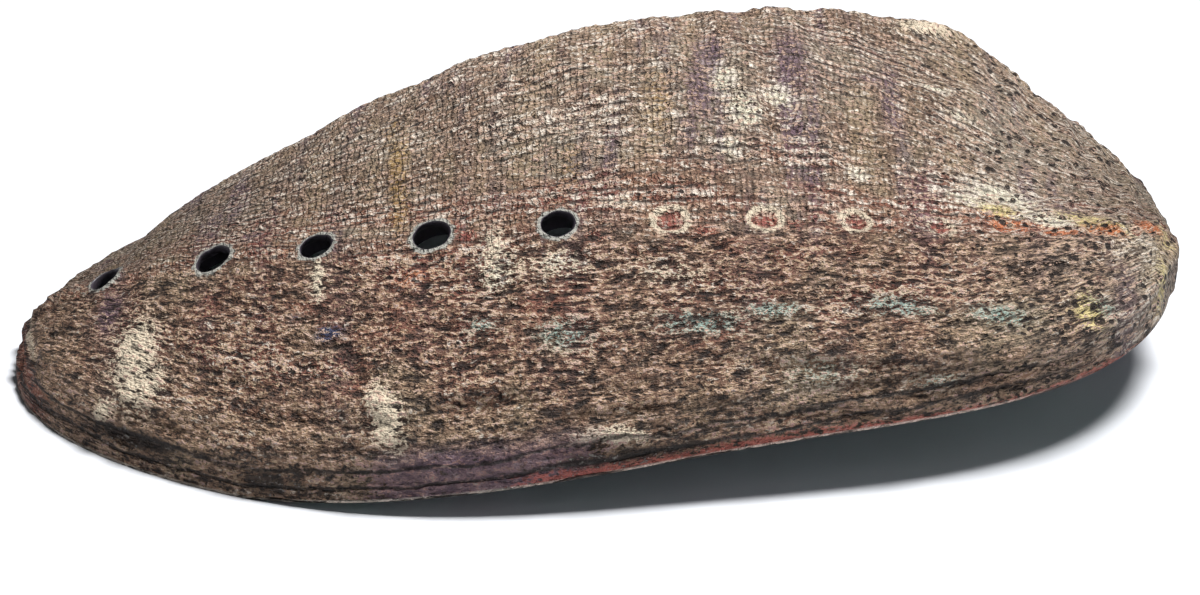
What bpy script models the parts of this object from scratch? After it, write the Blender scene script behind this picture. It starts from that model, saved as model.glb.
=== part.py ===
"""Abalone shell: one ear-shaped shell with spiral cords and a row of raised breathing holes."""
import math

import bmesh
import bpy
import numpy as np
from mathutils import Matrix, Vector

MM = 0.001
FULL_TURN = 2.0 * math.pi

# The margin seen from above: distance from the apex in mm, every 15 degrees counter-clockwise from +X.
RIM = (19, 17.5, 17, 17, 18.5, 21, 25, 32, 42.5, 57.5, 75.5, 98,
       124.5, 140.5, 133, 113.5, 89, 74.5, 65, 55.5, 44.5, 34.5, 27, 22)
# How far the margin arches off the table in mm, every 30 degrees. Below nothing it lies flat.
LIFT = (2.5, -0.5, -0.5, 0, 0, 0, 0, -1, 6.8, 10, 11.4, 8.8)
# The shape of the profile from the apex down to the margin, every 45 degrees.
FULLNESS = (2.0, 2.3, 2.45, 2.35, 1.65, 2.75, 1.5, 1.85)
STEEPNESS = (0.63, 0.65, 0.64, 0.59, 0.54, 0.39, 0.52, 0.55)
BULGE = (0.10, 0.04, 0.01, -0.03, -0.20, -0.21, 0.36, 0.28)

# The apex, the height there, and the slope of the top at the apex.
APEX_X = 55.7
APEX_Y = 19.9
APEX_HEIGHT = 33.6
SLOPE_X = -0.267
SLOPE_Y = 0.064
SLOPE_FADE = 1.82
FLAT_MARGIN = 0.15

# Every cord winds about the apex: its angle grows with the logarithm of the way in.
WIND = 1.77
WIND_EVEN = 0.95
ROW_ANGLE = math.radians(187.2)

# Loops of corners: many round the margin, half as many further in, and half again round the apex.
COLUMNS = 96
INNER_COLUMNS = 32
HALF_FROM = 0.46
QUARTER_FROM = 0.16
MARGIN_ROWS = (1.0, 0.998, 0.992, 0.982, 0.966, 0.944)
ROW_STEP = 0.046
APEX_ROW_STEP = 0.1
LAST_ROW = 0.045
INSIDE_ROWS = (1.0, 0.985, 0.95, 0.89, 0.8, 0.68, 0.54, 0.4, 0.26, 0.13)

CORD_HEIGHT = 0.9
CORD_SLOPE = 0.27
RIDGE_HEIGHT = 1.3
RIDGE_WIDTH = 6.5
FOLD_HEIGHT = 0.45
FOLD_STEP = 0.062
SPIRE_STEP = 1.3
WEAR = 0.22
BEAK_ROLL = 0.6
NUCLEUS = 0.5

WALL = 3.0
LIP = 1.7
SHELF = 6.5
SHELF_FROM = math.radians(232)
SHELF_TO = math.radians(345)
SHELF_EASE = math.radians(35)

# Along the hole row, from the front end back: how far in each hole lies, as a share of the margin's reach.
OPEN_HOLES = (0.950, 0.907, 0.873, 0.835, 0.791)
CLOSED_HOLES = (0.749, 0.708, 0.660, 0.608)
HOLE_RADIUS = 2.35
COLLAR_TOP = 3.1
COLLAR_FOOT = 5.6
COLLAR_RISE = 0.55
COLLAR_SINK = 1.6
PLUG_RADIUS = 1.9
CLOSED_TOP = 2.8
CLOSED_FOOT = 4.6
CLOSED_RISE = 0.5
PLUG_DEPTH = 0.6
HOLE_SIDES = 14

# Crusts and lumps grown on the outside: place seen from above, radius and height in mm.
LUMPS = ((-62, -28, 6, 0.9), (-28, -50, 5, 0.7), (47, -16, 7, 0.7), (50, 30, 6, 1.1),
         (62, -28, 5, 0.8), (-10, -54, 4, 0.6), (20, 20, 5, 0.6), (-45, 8, 4, 0.5))

SHELL_COLOUR = (0.135, 0.095, 0.068, 1.0)
SHELL_ROUGHNESS = 0.8


def clear_scene():
    """Remove the objects that the new file starts with."""
    for item in list(bpy.data.objects):
        bpy.data.objects.remove(item, do_unlink=True)


def periodic(values):
    """Give a smooth closed curve through values spread evenly over a full turn."""
    knots = np.array(values, dtype=float)
    count = len(knots)
    step = FULL_TURN / count
    unit = np.eye(count)
    system = 4.0 * unit + np.roll(unit, 1, axis=1) + np.roll(unit, -1, axis=1)
    bends = 6.0 * (np.roll(knots, -1) - 2.0 * knots + np.roll(knots, 1)) / step ** 2
    curve = np.linalg.solve(system, bends)

    def at(angle):
        place = (angle % FULL_TURN) / step
        low = int(place) % count
        high = (low + 1) % count
        part = place - int(place)
        rest = 1.0 - part
        straight = knots[low] * rest + knots[high] * part
        bent = (rest ** 3 - rest) * curve[low] + (part ** 3 - part) * curve[high]
        return float(straight + bent * step * step / 6.0)

    return at


log_rim = periodic([math.log(reach) for reach in RIM])
raw_lift = periodic(LIFT)
fullness = periodic(FULLNESS)
steepness = periodic(STEEPNESS)
bulge = periodic(BULGE)


def rim_reach(angle):
    """Distance from the apex to the margin, seen from above."""
    return math.exp(log_rim(angle))


def rim_lift(angle):
    """Height of the margin off the table."""
    return max(raw_lift(angle) - FLAT_MARGIN, 0.0)


def smooth_skin(share, angle):
    """Place on the smooth outside: share runs from 0 at the apex to 1 at the margin."""
    reach = rim_reach(angle)
    radius = reach * (share + bulge(angle) * 4.0 * share ** 3 * (1.0 - share))
    low = rim_lift(angle)
    dome = max(1.0 - share ** fullness(angle), 0.0) ** steepness(angle)
    slope = SLOPE_X * math.cos(angle) + SLOPE_Y * math.sin(angle)
    height = low + (APEX_HEIGHT - low) * dome + reach * slope * share * (1.0 - share ** SLOPE_FADE)
    return Vector((APEX_X + radius * math.cos(angle), APEX_Y + radius * math.sin(angle), height))


def skin_normal(share, angle):
    """Outward direction of the smooth outside."""
    if share > 0.995:
        ahead = smooth_skin(1.0, angle + 0.01)
        behind = smooth_skin(1.0, angle - 0.01)
        along = ahead - behind
        return Vector((along.y, -along.x, 0.0)).normalized()
    near = max(share, 0.03)
    outward = smooth_skin(near + 0.003, angle) - smooth_skin(near - 0.003, angle)
    around = smooth_skin(near, angle + 0.01) - smooth_skin(near, angle - 0.01)
    normal = outward.cross(around).normalized()
    return normal


def wound(share, start):
    """Angle of the cord that leaves the margin at start, once it has come in to share."""
    return start - WIND * math.log(share) + WIND_EVEN * (1.0 - share)


def even_starts(count):
    """Angles that part the margin into equal lengths, the first on the hole row."""
    steps = 1440
    angles = [ROW_ANGLE + FULL_TURN * i / steps for i in range(steps + 1)]
    places = [smooth_skin(1.0, angle) for angle in angles]
    run = [0.0]
    for before, after in zip(places, places[1:]):
        run.append(run[-1] + (after - before).length)
    marks = np.linspace(0.0, run[-1], count, endpoint=False)
    return [float(np.interp(mark, run, angles)) for mark in marks], run[-1]


def smooth_step(low, high, value):
    """Rise gently from 0 at low to 1 at high."""
    part = min(max((value - low) / (high - low), 0.0), 1.0)
    return part * part * (3.0 - 2.0 * part)


def bump(offset, width):
    """A rounded hump of height 1."""
    return math.exp(-(offset / width) ** 2)


def wear_noise(place):
    """Repeatable small unevenness from -1 to 1."""
    value = math.sin(place.x * 1.93 + 1.3) * math.sin(place.y * 2.17 + 0.4)
    return value + 0.6 * math.sin(place.x * 0.71 - place.y * 0.83 + 2.0)


def cord_gap(share, start, next_start):
    """Distance in mm between a ridge and the groove beside it, square to the cord."""
    place = smooth_skin(share, wound(share, start))
    along = smooth_skin(share * 0.97, wound(share * 0.97, start)) - place
    across = smooth_skin(share, wound(share, next_start)) - place
    return across.cross(along.normalized()).length


def relief(share, order, gap, from_row, angle, place):
    """Height of the outside's relief over the smooth skin. from_row is the way in mm to the hole row."""
    open_margin = smooth_step(1.0, 0.994, share)
    towards_apex = smooth_step(0.04, 0.4, share)
    cord = min(CORD_HEIGHT, CORD_SLOPE * gap) * (0.5 if order % 2 == 0 else -0.5) * towards_apex
    ridge = RIDGE_HEIGHT * bump(from_row, RIDGE_WIDTH) * towards_apex
    fold = FOLD_HEIGHT * math.sin(FULL_TURN * share / FOLD_STEP / 2.0) * smooth_step(0.2, 0.5, share)
    turn = (angle - ROW_ANGLE) % FULL_TURN / FULL_TURN
    spire = SPIRE_STEP * turn * smooth_step(0.03, 0.12, share) * smooth_step(0.45, 0.2, share)
    past_row = (angle - ROW_ANGLE - 0.12 + math.pi) % FULL_TURN - math.pi
    beak = BEAK_ROLL * bump(share - 0.98, 0.03) * bump(past_row, 0.2)
    wear = WEAR * wear_noise(place) * towards_apex
    lumps = 0.0
    for x, y, radius, height in LUMPS:
        lumps += height * bump(math.hypot(place.x - x, place.y - y), radius)
    return (cord + ridge + fold + wear + lumps) * open_margin + spire + beak


def outside_loop(share, starts, pitch):
    """One loop of places on the finished outside, a corner for each ridge and each groove."""
    stride = 1 if share > HALF_FROM else 2 if share > QUARTER_FROM else 4
    loop = []
    for order, column in enumerate(range(0, COLUMNS, stride)):
        angle = wound(share, starts[column])
        place = smooth_skin(share, angle)
        if share < 1.0:
            from_row = min(column, COLUMNS - column) * pitch * share
            gap = cord_gap(share, starts[column], starts[(column + stride) % COLUMNS])
            height = relief(share, order, gap, from_row, angle, place)
            place = place + skin_normal(share, angle) * height
        loop.append(place)
    return loop


def outside_rows():
    """Shares of the loops from the margin in, closer together towards the apex."""
    rows = list(MARGIN_ROWS)
    while rows[-1] > LAST_ROW:
        rows.append(rows[-1] * math.exp(-ROW_STEP if rows[-1] > QUARTER_FROM else -APEX_ROW_STEP))
    return rows


def shelf_share(angle):
    """How much of the inner shelf stands along the margin here."""
    turn = angle % FULL_TURN
    rise = smooth_step(SHELF_FROM - SHELF_EASE, SHELF_FROM + SHELF_EASE, turn)
    fall = smooth_step(SHELF_TO + SHELF_EASE * 0.4, SHELF_TO - SHELF_EASE, turn)
    return rise * fall


def inside_point(share, angle):
    """Place on the smooth inside, with the broad shelf along the front margin."""
    shelf = SHELF * shelf_share(angle)
    if share == 1.0:
        place = smooth_skin(1.0, angle)
        return place - skin_normal(1.0, angle) * (LIP + shelf)
    place = smooth_skin(share, angle)
    wall = WALL * (0.55 + 0.45 * smooth_step(1.0, 0.8, share)) + shelf * smooth_step(0.55, 1.0, share)
    return place - skin_normal(share, angle) * wall


def add_rings(mesh, rings):
    """Make one loop of corners for each list of places."""
    return [[mesh.verts.new(place) for place in ring] for ring in rings]


def close_strip(mesh, outer, inner, flip):
    """Join two loops with triangles. The inner one has the same count, or a whole share of it."""
    stride = len(outer) // len(inner)
    for i, low in enumerate(inner):
        high = inner[(i + 1) % len(inner)]
        run = [outer[(stride * i + step) % len(outer)] for step in range(stride + 1)]
        middle = (stride + 1) // 2
        faces = [(run[step], run[step + 1], low) for step in range(middle)]
        faces.append((run[middle], high, low))
        faces += [(run[step], run[step + 1], high) for step in range(middle, stride)]
        for face in faces:
            mesh.faces.new(tuple(reversed(face)) if flip else face)


def close_cap(mesh, ring, top, flip):
    """Close a loop with a fan to one corner."""
    count = len(ring)
    for i in range(count):
        face = (ring[i], ring[(i + 1) % count], top)
        mesh.faces.new(tuple(reversed(face)) if flip else face)


def shell_body():
    """The shell without its holes: outside, margin and inside as one closed skin."""
    starts, length = even_starts(COLUMNS)
    mesh = bmesh.new()
    outer = add_rings(mesh, [outside_loop(share, starts, length / COLUMNS) for share in outside_rows()])
    for low, high in zip(outer, outer[1:]):
        close_strip(mesh, low, high, False)
    peak = smooth_skin(0.0, 0.0) + Vector((0.0, 0.0, NUCLEUS))
    close_cap(mesh, outer[-1], mesh.verts.new(peak), False)
    inner_starts = starts[::COLUMNS // INNER_COLUMNS]
    inner = add_rings(mesh, [[inside_point(share, angle) for angle in inner_starts]
                             for share in INSIDE_ROWS])
    for low, high in zip(inner, inner[1:]):
        close_strip(mesh, low, high, True)
    roof = smooth_skin(0.0, 0.0) - Vector((0.0, 0.0, WALL))
    close_cap(mesh, inner[-1], mesh.verts.new(roof), True)
    close_strip(mesh, outer[0], inner[0], True)
    bmesh.ops.recalc_face_normals(mesh, faces=mesh.faces)
    return mesh


def hole_frame(share):
    """Place and turn of a hole: on the row's ridge, its axis square to the skin."""
    angle = wound(share, ROW_ANGLE)
    normal = skin_normal(share, angle)
    place = smooth_skin(share, angle) + normal * RIDGE_HEIGHT
    turn = normal.to_track_quat("Z", "Y").to_matrix().to_4x4()
    return Matrix.Translation(place) @ turn


def add_cone(mesh, frame, foot, top, low, high):
    """A closed cone stump on a hole's axis, from low to high."""
    shift = Matrix.Translation((0.0, 0.0, (low + high) / 2.0))
    bmesh.ops.create_cone(mesh, cap_ends=True, segments=HOLE_SIDES, radius1=foot, radius2=top,
                          depth=high - low, matrix=frame @ shift)


def collars():
    """Raised rims of the open holes and the lower rings of the closed ones."""
    mesh = bmesh.new()
    for share in OPEN_HOLES:
        add_cone(mesh, hole_frame(share), COLLAR_FOOT, COLLAR_TOP, -COLLAR_SINK, COLLAR_RISE)
    for share in CLOSED_HOLES:
        add_cone(mesh, hole_frame(share), CLOSED_FOOT, CLOSED_TOP, -COLLAR_SINK, CLOSED_RISE)
    return mesh


def bores():
    """What is cut away: open holes right through, and the dish over each closed one."""
    mesh = bmesh.new()
    for share in OPEN_HOLES:
        add_cone(mesh, hole_frame(share), HOLE_RADIUS * 0.85, HOLE_RADIUS * 1.08, -9.0, COLLAR_RISE + 1.0)
    for share in CLOSED_HOLES:
        add_cone(mesh, hole_frame(share), PLUG_RADIUS, PLUG_RADIUS * 1.1,
                 CLOSED_RISE - PLUG_DEPTH, CLOSED_RISE + 1.0)
    return mesh


def as_object(name, mesh):
    """Put a mesh, drawn in mm, into the scene at its real size."""
    bmesh.ops.scale(mesh, vec=(MM, MM, MM), verts=mesh.verts)
    data = bpy.data.meshes.new(name)
    mesh.to_mesh(data)
    mesh.free()
    item = bpy.data.objects.new(name, data)
    bpy.context.scene.collection.objects.link(item)
    return item


def as_cutter(item):
    """Hide an object that only shapes another."""
    item.hide_render = True
    item.display_type = "WIRE"
    return item


def combine(item, other, operation):
    """Join or cut with a Boolean."""
    step = item.modifiers.new(other.name, "BOOLEAN")
    step.operation = operation
    step.solver = "EXACT"
    step.object = other


def shell_material():
    """Weathered outer shell: dull grey-brown lime."""
    material = bpy.data.materials.new("weathered shell")
    material.use_nodes = True
    shader = material.node_tree.nodes["Principled BSDF"]
    shader.inputs["Base Color"].default_value = SHELL_COLOUR
    shader.inputs["Roughness"].default_value = SHELL_ROUGHNESS
    shader.inputs["Metallic"].default_value = 0.0
    return material


def main():
    """Build the shell."""
    clear_scene()
    shell = as_object("shell", shell_body())
    raised = as_cutter(as_object("collar_shapes", collars()))
    cut = as_cutter(as_object("bore_shapes", bores()))
    combine(shell, raised, "UNION")
    combine(shell, cut, "DIFFERENCE")
    shell.data.materials.append(shell_material())


main()
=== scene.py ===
"""Abalone shell, dressed: the grown shell with its cords, growth lines, holes and crusts, and a studio."""

import math

import bmesh
import bpy
import numpy as np
from bpy.props import FloatProperty, FloatVectorProperty, PointerProperty
from bpy.types import Operator, Panel, PropertyGroup
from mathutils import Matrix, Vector, noise


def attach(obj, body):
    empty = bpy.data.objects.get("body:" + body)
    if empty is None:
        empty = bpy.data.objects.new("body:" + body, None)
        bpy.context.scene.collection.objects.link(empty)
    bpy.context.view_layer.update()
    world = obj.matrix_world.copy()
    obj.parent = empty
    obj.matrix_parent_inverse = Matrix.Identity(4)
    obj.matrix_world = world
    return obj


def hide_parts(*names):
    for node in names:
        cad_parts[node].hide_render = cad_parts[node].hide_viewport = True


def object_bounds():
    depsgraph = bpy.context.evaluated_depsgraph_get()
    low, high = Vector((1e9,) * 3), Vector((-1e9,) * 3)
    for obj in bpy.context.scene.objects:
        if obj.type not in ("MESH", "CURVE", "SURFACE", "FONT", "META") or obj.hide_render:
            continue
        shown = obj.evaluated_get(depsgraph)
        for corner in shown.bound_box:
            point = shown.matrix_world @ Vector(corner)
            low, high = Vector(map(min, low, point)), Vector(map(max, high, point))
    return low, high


bl_info = {
    "name": "Abalone Shell",
    "version": (1, 0, 0),
    "blender": (4, 5, 0),
    "location": "3D View > Sidebar > Abalone",
    "description": "Builds a weathered abalone shell over its frame, with a plain studio",
    "category": "Object",
}

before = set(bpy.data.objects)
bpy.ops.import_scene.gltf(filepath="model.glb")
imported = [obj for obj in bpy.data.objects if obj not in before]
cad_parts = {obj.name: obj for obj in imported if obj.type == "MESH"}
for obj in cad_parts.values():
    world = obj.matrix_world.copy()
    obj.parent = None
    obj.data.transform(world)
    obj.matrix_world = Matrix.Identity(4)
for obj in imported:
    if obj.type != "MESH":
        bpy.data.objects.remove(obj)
CAD_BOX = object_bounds()

MM = 0.001
FULL_TURN = 2.0 * math.pi

# The shell grows outwards from its apex as nested closed loops. A share of 0 is the apex and 1 is the
# margin. Angles run anticlockwise round the apex, seen from above, from the spire's end. All in mm.
# The margin lies RIM from the apex and LIFT above the table. FULLNESS and STEEPNESS shape the dome over it,
# and BULGE pushes the loops between outwards.
RIM = (19, 17.5, 17, 17, 18.5, 21, 25, 32, 42.5, 57.5, 75.5, 98,
       124.5, 140.5, 133, 113.5, 89, 74.5, 65, 55.5, 44.5, 34.5, 27, 22)
LIFT = (2.5, -0.5, -0.5, 0, 0, 0, 0, -1, 6.8, 10, 11.4, 8.8)
FULLNESS = (2.0, 2.3, 2.45, 2.35, 1.65, 2.75, 1.5, 1.85)
STEEPNESS = (0.63, 0.65, 0.64, 0.59, 0.54, 0.39, 0.52, 0.55)
BULGE = (0.10, 0.04, 0.01, -0.03, -0.20, -0.21, 0.36, 0.28)
APEX_X = 55.7
APEX_Y = 19.9
APEX_HEIGHT = 33.6
SLOPE_X = -0.267
SLOPE_Y = 0.064
SLOPE_FADE = 1.82
FLAT_MARGIN = 0.15

# The row of holes winds in from the margin towards the apex.
WIND = 1.77
WIND_EVEN = 0.95
ROW_ANGLE = math.radians(187.2)

# Cords fan out on each side of the row and draw together again at its far end.
CORD_MM = 2.4
FAN_MIDDLE = 28.0
FAN_FRONT = 118.0
FAN_BACK = 60.0
FAN_WIDEST = 1.14
FAN_LEAST = 0.15
FLANK_CORDS = 13.0
BEND_RADIUS = 50.0
BEND_DEPTH = 8.0

# The mesh: columns run out from the apex, rows follow the growth loops. The corners of a row whose share is
# under POLE_SHARE meet in one point, and FIRST_SHARE is the first row out from there.
COLUMNS = 416
OUTSIDE_ROWS = 190
INSIDE_ROWS = 26
POLE_SHARE = 0.001
FIRST_SHARE = 0.03
REFINE_PASSES = 4

# Thickness of the wall and of its lip, and the broad shelf inside the near margin.
WALL = 3.0
LIP = 1.7
SHELF = 6.5
SHELF_FROM = math.radians(232)
SHELF_TO = math.radians(345)
SHELF_EASE = math.radians(35)

# Along the hole row, how far in each hole lies, and its radius.
OPEN_HOLES = ((0.950, 2.35), (0.907, 2.6), (0.873, 2.35), (0.835, 2.65), (0.791, 2.35))
CLOSED_HOLES = ((0.749, 2.3), (0.708, 2.1), (0.660, 1.9), (0.608, 1.8))

# The oldest holes are worn away to knobs: how far in each lies, its angle in degrees and its radius.
WORN_HOLES = ((0.571, 268.9, 1.6), (0.582, 277.7, 1.5), (0.624, 286.8, 1.4), (0.706, 295.9, 1.3),
              (0.798, 305.0, 1.2))

# The smooth rim round a hole, and how many times wider an open hole is on the inside.
RIM_WIDTH = 0.55
INSIDE_WIDENING = 1.7

# An open hole's wall, ring by ring: how much narrower each ring is (less than 0 is wider), and how much
# deeper. It leans forward by this much for each mm of depth.
BORE_RINGS = ((0.08, 0.05), (0.10, 0.14), (0.06, 0.4), (0.0, 0.6), (-0.5, 0.5), (-0.9, 0.5))
BORE_LEAN = (-0.35, 0.3, 0.0)

# The mesh is made finer out to this many hole radii, on edges longer than this many mm.
FINE_OUTSIDE = (1.8, 0.6)
FINE_INSIDE = (2.3, 1.2)

# A place further than this along a hole's axis is on another wall, and counts as far off.
HOLE_DEPTH = 12.0
FAR_OFF = 99.0

# Spacing of the fine growth steps, of the broad folds and of the ledges along the margin. The swells of
# growth are this share of the way in apart.
STEP_MM = 2.9
FOLD_MM = 9.5
LEDGE_MM = 2.6
SWELL_SHARE = 0.124

# How far in from the margin its own colours can reach.
EDGE_REACH = 20.0

# Crusts and lumps grown on the outside: place seen from above, radius and height in mm.
LUMPS = ((-62, -28, 6, 0.9), (-28, -50, 5, 0.7), (47, -16, 7, 0.7), (50, 30, 6, 1.1),
         (62, -28, 5, 0.8), (-10, -54, 4, 0.6), (20, 20, 5, 0.6), (-45, 8, 4, 0.5))

# Marks on the outside: place in mm, half size along the shell and across it, and strength. They fade
# out over this many times their half size.
MARK_SPREAD = 1.35
MARKS = {
    "crust": (
        (-61.9, -34.5, 11.3, 2, 4.6, 1), (-60.6, -39.5, 9.4, 2.4, 2.6, 0.8), (-65.9, -38.6, 5.8, 1, 1, 0.9),
        (-27, -56.7, 12, 1.5, 2.4, 1), (-28.6, -54.5, 14.6, 1, 1.6, 0.9), (-25.6, -58, 9, 1.2, 1.2, 0.8),
        (3, -58.2, 10.8, 3.2, 0.8, 0.9), (-1.5, -58.7, 10.6, 1.4, 0.7, 0.7),
        (47.4, 28.3, 35.7, 3.4, 1.3, 0.9), (-36.8, -34.8, 22.8, 0.6, 3.2, 0.8),
        (-13.3, -37.6, 28.1, 1.2, 2.4, 0.6),
    ),
    "bleached": (
        (55.3, -16.6, 27.9, 4.6, 2.4, 1), (50.4, -20.8, 28.6, 3.4, 1.6, 0.8),
        (61.3, -20.4, 25.4, 4, 1.6, 0.9), (17.8, -3.8, 40.4, 1.6, 4, 0.8),
        (20.6, -11.3, 38.6, 1.8, 3.6, 0.9), (25.3, -5.7, 38.8, 1.6, 3.2, 0.8),
        (18.3, -19.8, 36.6, 1.8, 1.6, 0.6), (47.6, 6.6, 34.8, 3, 0.7, 1), (51.4, 1.2, 33.4, 2.2, 1.2, 0.7),
        (35.6, -20.9, 32.8, 1.3, 1.2, 0.9), (-13, -40.5, 26.8, 2.4, 3, 0.7), (-5, -41, 27.6, 4, 2.4, 0.5),
        (9, -42, 26.5, 5, 2, 0.45), (0, -14, 38, 10, 4, 0.3), (-30, 4, 31, 1.5, 0.8, 0.8),
        (73, -20, 21, 5, 6, 0.35), (3.4, -31.5, 31.8, 2, 1.4, 0.7),
    ),
    "yellow": (
        (66, -36.9, 19.4, 1.8, 1.8, 0.9), (64.5, -38, 21.5, 1.4, 1, 0.7), (77.4, -21, 16.5, 0.9, 2.6, 0.9),
        (54, -21.5, 27.2, 4.4, 1.2, 0.9), (68, -18.5, 24, 6, 1.4, 0.9), (77.5, -14, 20.5, 1.4, 1.6, 0.6),
    ),
    "orange": (
        (55.4, -24.2, 26.3, 3.4, 1, 1), (63.1, -22.6, 24.6, 3.6, 0.9, 1), (69.5, -19.4, 23.4, 3.4, 0.9, 1),
        (75.6, -14.9, 22, 2.2, 1, 1), (-24, -39, 24.6, 2, 1, 0.4),
    ),
    "teal": (
        (-4.1, -50.4, 21.7, 3.2, 1.8, 0.6), (13.9, -48.8, 22.6, 4.6, 1.4, 0.75),
        (23.6, -46.5, 23.7, 3.4, 1.2, 0.65), (40.2, -44.3, 23.4, 4.6, 1.2, 0.75),
        (53.6, -42.5, 21.3, 4.2, 1.4, 0.75), (68, -35, 19, 2.6, 1.4, 0.65), (-14.9, -48.4, 22, 1.8, 1, 0.6),
        (30, -52, 17, 5, 2, 0.4), (46, -49.5, 14.5, 6, 1.2, 0.45), (-36.6, -36, 21.8, 0.7, 1.6, 0.6),
    ),
    "blue": (
        (-35.2, -43.6, 19.2, 1.5, 0.8, 1), (-40, -40, 20, 1.2, 0.7, 0.5),
    ),
    "red": (
        (-45.6, -25, 23.2, 1.5, 0.7, 0.9), (-16.9, -34.6, 28.5, 1.3, 0.9, 1),
        (-18.6, -33, 29.3, 0.9, 1.2, 0.7), (0.1, -37.6, 29.7, 1.3, 0.9, 0.7),
        (14.6, -36.5, 30, 1.3, 0.8, 0.8), (10.3, -34.7, 31.4, 1.4, 1.1, 0.75),
        (23, -33.2, 31, 1.5, 1.1, 0.85), (26.6, -34, 30.2, 1, 0.8, 0.8),
        (35.1, -31.6, 29.8, 1.4, 1.2, 0.95), (38.4, -32.3, 29, 1, 0.7, 0.7),
        (46.3, -29.1, 27.8, 1.1, 1, 0.8), (-63, -17, 15.6, 1.8, 1, 0.5),
    ),
    "purple": (
        (-46.4, -21.8, 23.6, 1.3, 1, 0.9), (-66.4, -22.2, 13, 1.3, 3.4, 0.9), (14.4, -7.5, 40.2, 1.6, 6, 1),
        (15.5, 2.6, 41.3, 1.6, 6, 1), (12.9, -17.3, 38, 1.4, 4, 0.6), (27.4, 5.9, 39.8, 1.9, 8, 0.9),
        (-17.8, -59.6, 8, 5, 1, 0.9), (-9, -59.9, 5.5, 4, 0.8, 0.8), (-12, -28.6, 32, 2, 3, 0.4),
        (38, 4, 37, 2, 1.4, 0.6),
    ),
    "ochre": (
        (-26.8, -15.8, 32.6, 0.9, 4.4, 0.9), (-26.2, -26.6, 29.4, 0.9, 3.4, 0.9),
        (-26.6, -21, 31, 0.8, 4, 0.8), (-28, -6, 33, 0.9, 5, 0.5), (8.8, -10.7, 40, 1.4, 6, 0.5),
        (-3, -24, 34.5, 1.2, 4, 0.4),
    ),
}

# Layers of values that follow the shell's shape.
SHAPE_LAYERS = ("rim", "scar", "plug", "salmon", "violet_edge", "flank", "old", "low", "beak", "row", "edge",
                "crease")

# Pattern sizes in mm: threads of growth, bored pits, plates along the margin, grain of the hole walls, and
# the nacre's bands and ripples.
THREAD_MM = 0.85
PIT_MM = 1.6
PLATE_MM = 2.3
WALL_GRAIN_MM = 1.2
SWIRL_MM = 14.0
RIPPLE_MM = 3.0

# Colours of the shell as sRGB codes, and what each one is on.
COLOURS = {
    "brown": ("7d5f50", "Ground brown"),
    "grey": ("908271", "Ground grey"),
    "russet": ("6d4336", "Near flank"),
    "slate": ("8d8375", "Spire end"),
    "umber": ("4a3628", "Dark mottling"),
    # Sand is also painted light on the low near flank.
    "sand": ("a38d70", "Sandy bands and painted light"),
    "plum": ("6c5563", "Purple bands"),
    "moss": ("86826a", "Greenish stains"),
    "ochre": ("ad8840", "Ochre stripes"),
    "coral": ("935046", "Red stains"),
    "orange": ("bd6a3e", "Orange stains"),
    "straw": ("dccb8c", "Yellow stains"),
    "verdigris": ("8cada5", "Teal stains"),
    "lichen": ("dfd9c0", "Bleached lime"),
    "cream": ("dccdb4", "Crusts"),
    "rust": ("85493a", "Rusty stains"),
    "fleck": ("e6dacb", "Pale flecks"),
    "buff": ("cdb89c", "Buff flecks"),
    # Painted shade in grooves, slots, pits, plate edges, the crease and hole walls; also real dark specks and
    # grains.
    "shadow": ("1d130f", "Painted shade and dark grains"),
    "ink": ("2c3a5c", "Blue stains"),
    "salmon": ("a9584c", "Margin"),
    "worn": ("a3a39b", "Hole rims"),
    "violet": ("4c4652", "Hole walls"),
    "rose": ("b99aa3", "Nacre, rose"),
    "pearl": ("bcbcc2", "Nacre, pearl"),
    "mint": ("8fb3a6", "Nacre, green"),
    "sea": ("7899ac", "Nacre, blue"),
}

FLOOR_COLOUR = "d4d6da"
SKY_COLOUR = "e7f0ff"

# The studio, in metres: each lamp's place, size and share of the light, what they point at, the floor's
# half width, and the camera's place.
LAMPS = {
    "key": ((0.34, 0.0, 1.1), 0.5, 1.0),
    "front": ((-0.6, -0.95, 0.9), 0.7, 0.035),
}
LIT_POINT = (0.0, 0.0, 0.02)
FLOOR_HALF = 4.0
CAMERA_PLACE = (0.0, -0.6982, 0.2929)
CAMERA_SENSOR_MM = 36.0
CAMERA_LENS_MM = 160.7
CAMERA_DOWN = math.radians(22.32)
CAMERA_ASIDE = math.radians(0.053)


def linear(code):
    """Turn an sRGB hex colour into linear red, green, blue and alpha."""
    values = [int(code[i:i + 2], 16) / 255.0 for i in (0, 2, 4)]
    return tuple(v / 12.92 if v <= 0.04045 else ((v + 0.055) / 1.055) ** 2.4 for v in values) + (1.0,)


def smooth_step(low, high, value):
    """Rise gently from 0 at low to 1 at high."""
    part = np.clip((value - low) / (high - low), 0.0, 1.0)
    return part * part * (3.0 - 2.0 * part)


def bump(offset, width):
    """A rounded hump of height 1."""
    return np.exp(-(offset / width) ** 2)


def periodic(values):
    """Give a smooth closed curve through values spread evenly over a full turn."""
    knots = np.array(values, dtype=float)
    count = len(knots)
    step = FULL_TURN / count
    unit = np.eye(count)
    system = 4.0 * unit + np.roll(unit, 1, axis=1) + np.roll(unit, -1, axis=1)
    bends = 6.0 * (np.roll(knots, -1) - 2.0 * knots + np.roll(knots, 1)) / step ** 2
    curve = np.linalg.solve(system, bends)

    def at(angle):
        place = np.mod(angle, FULL_TURN) / step
        low = np.floor(place).astype(int) % count
        high = (low + 1) % count
        part = place - np.floor(place)
        rest = 1.0 - part
        straight = knots[low] * rest + knots[high] * part
        bent = (rest ** 3 - rest) * curve[low] + (part ** 3 - part) * curve[high]
        return straight + bent * step * step / 6.0

    return at


log_rim = periodic([math.log(reach) for reach in RIM])
raw_lift = periodic(LIFT)
fullness = periodic(FULLNESS)
steepness = periodic(STEEPNESS)
bulge = periodic(BULGE)


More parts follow.
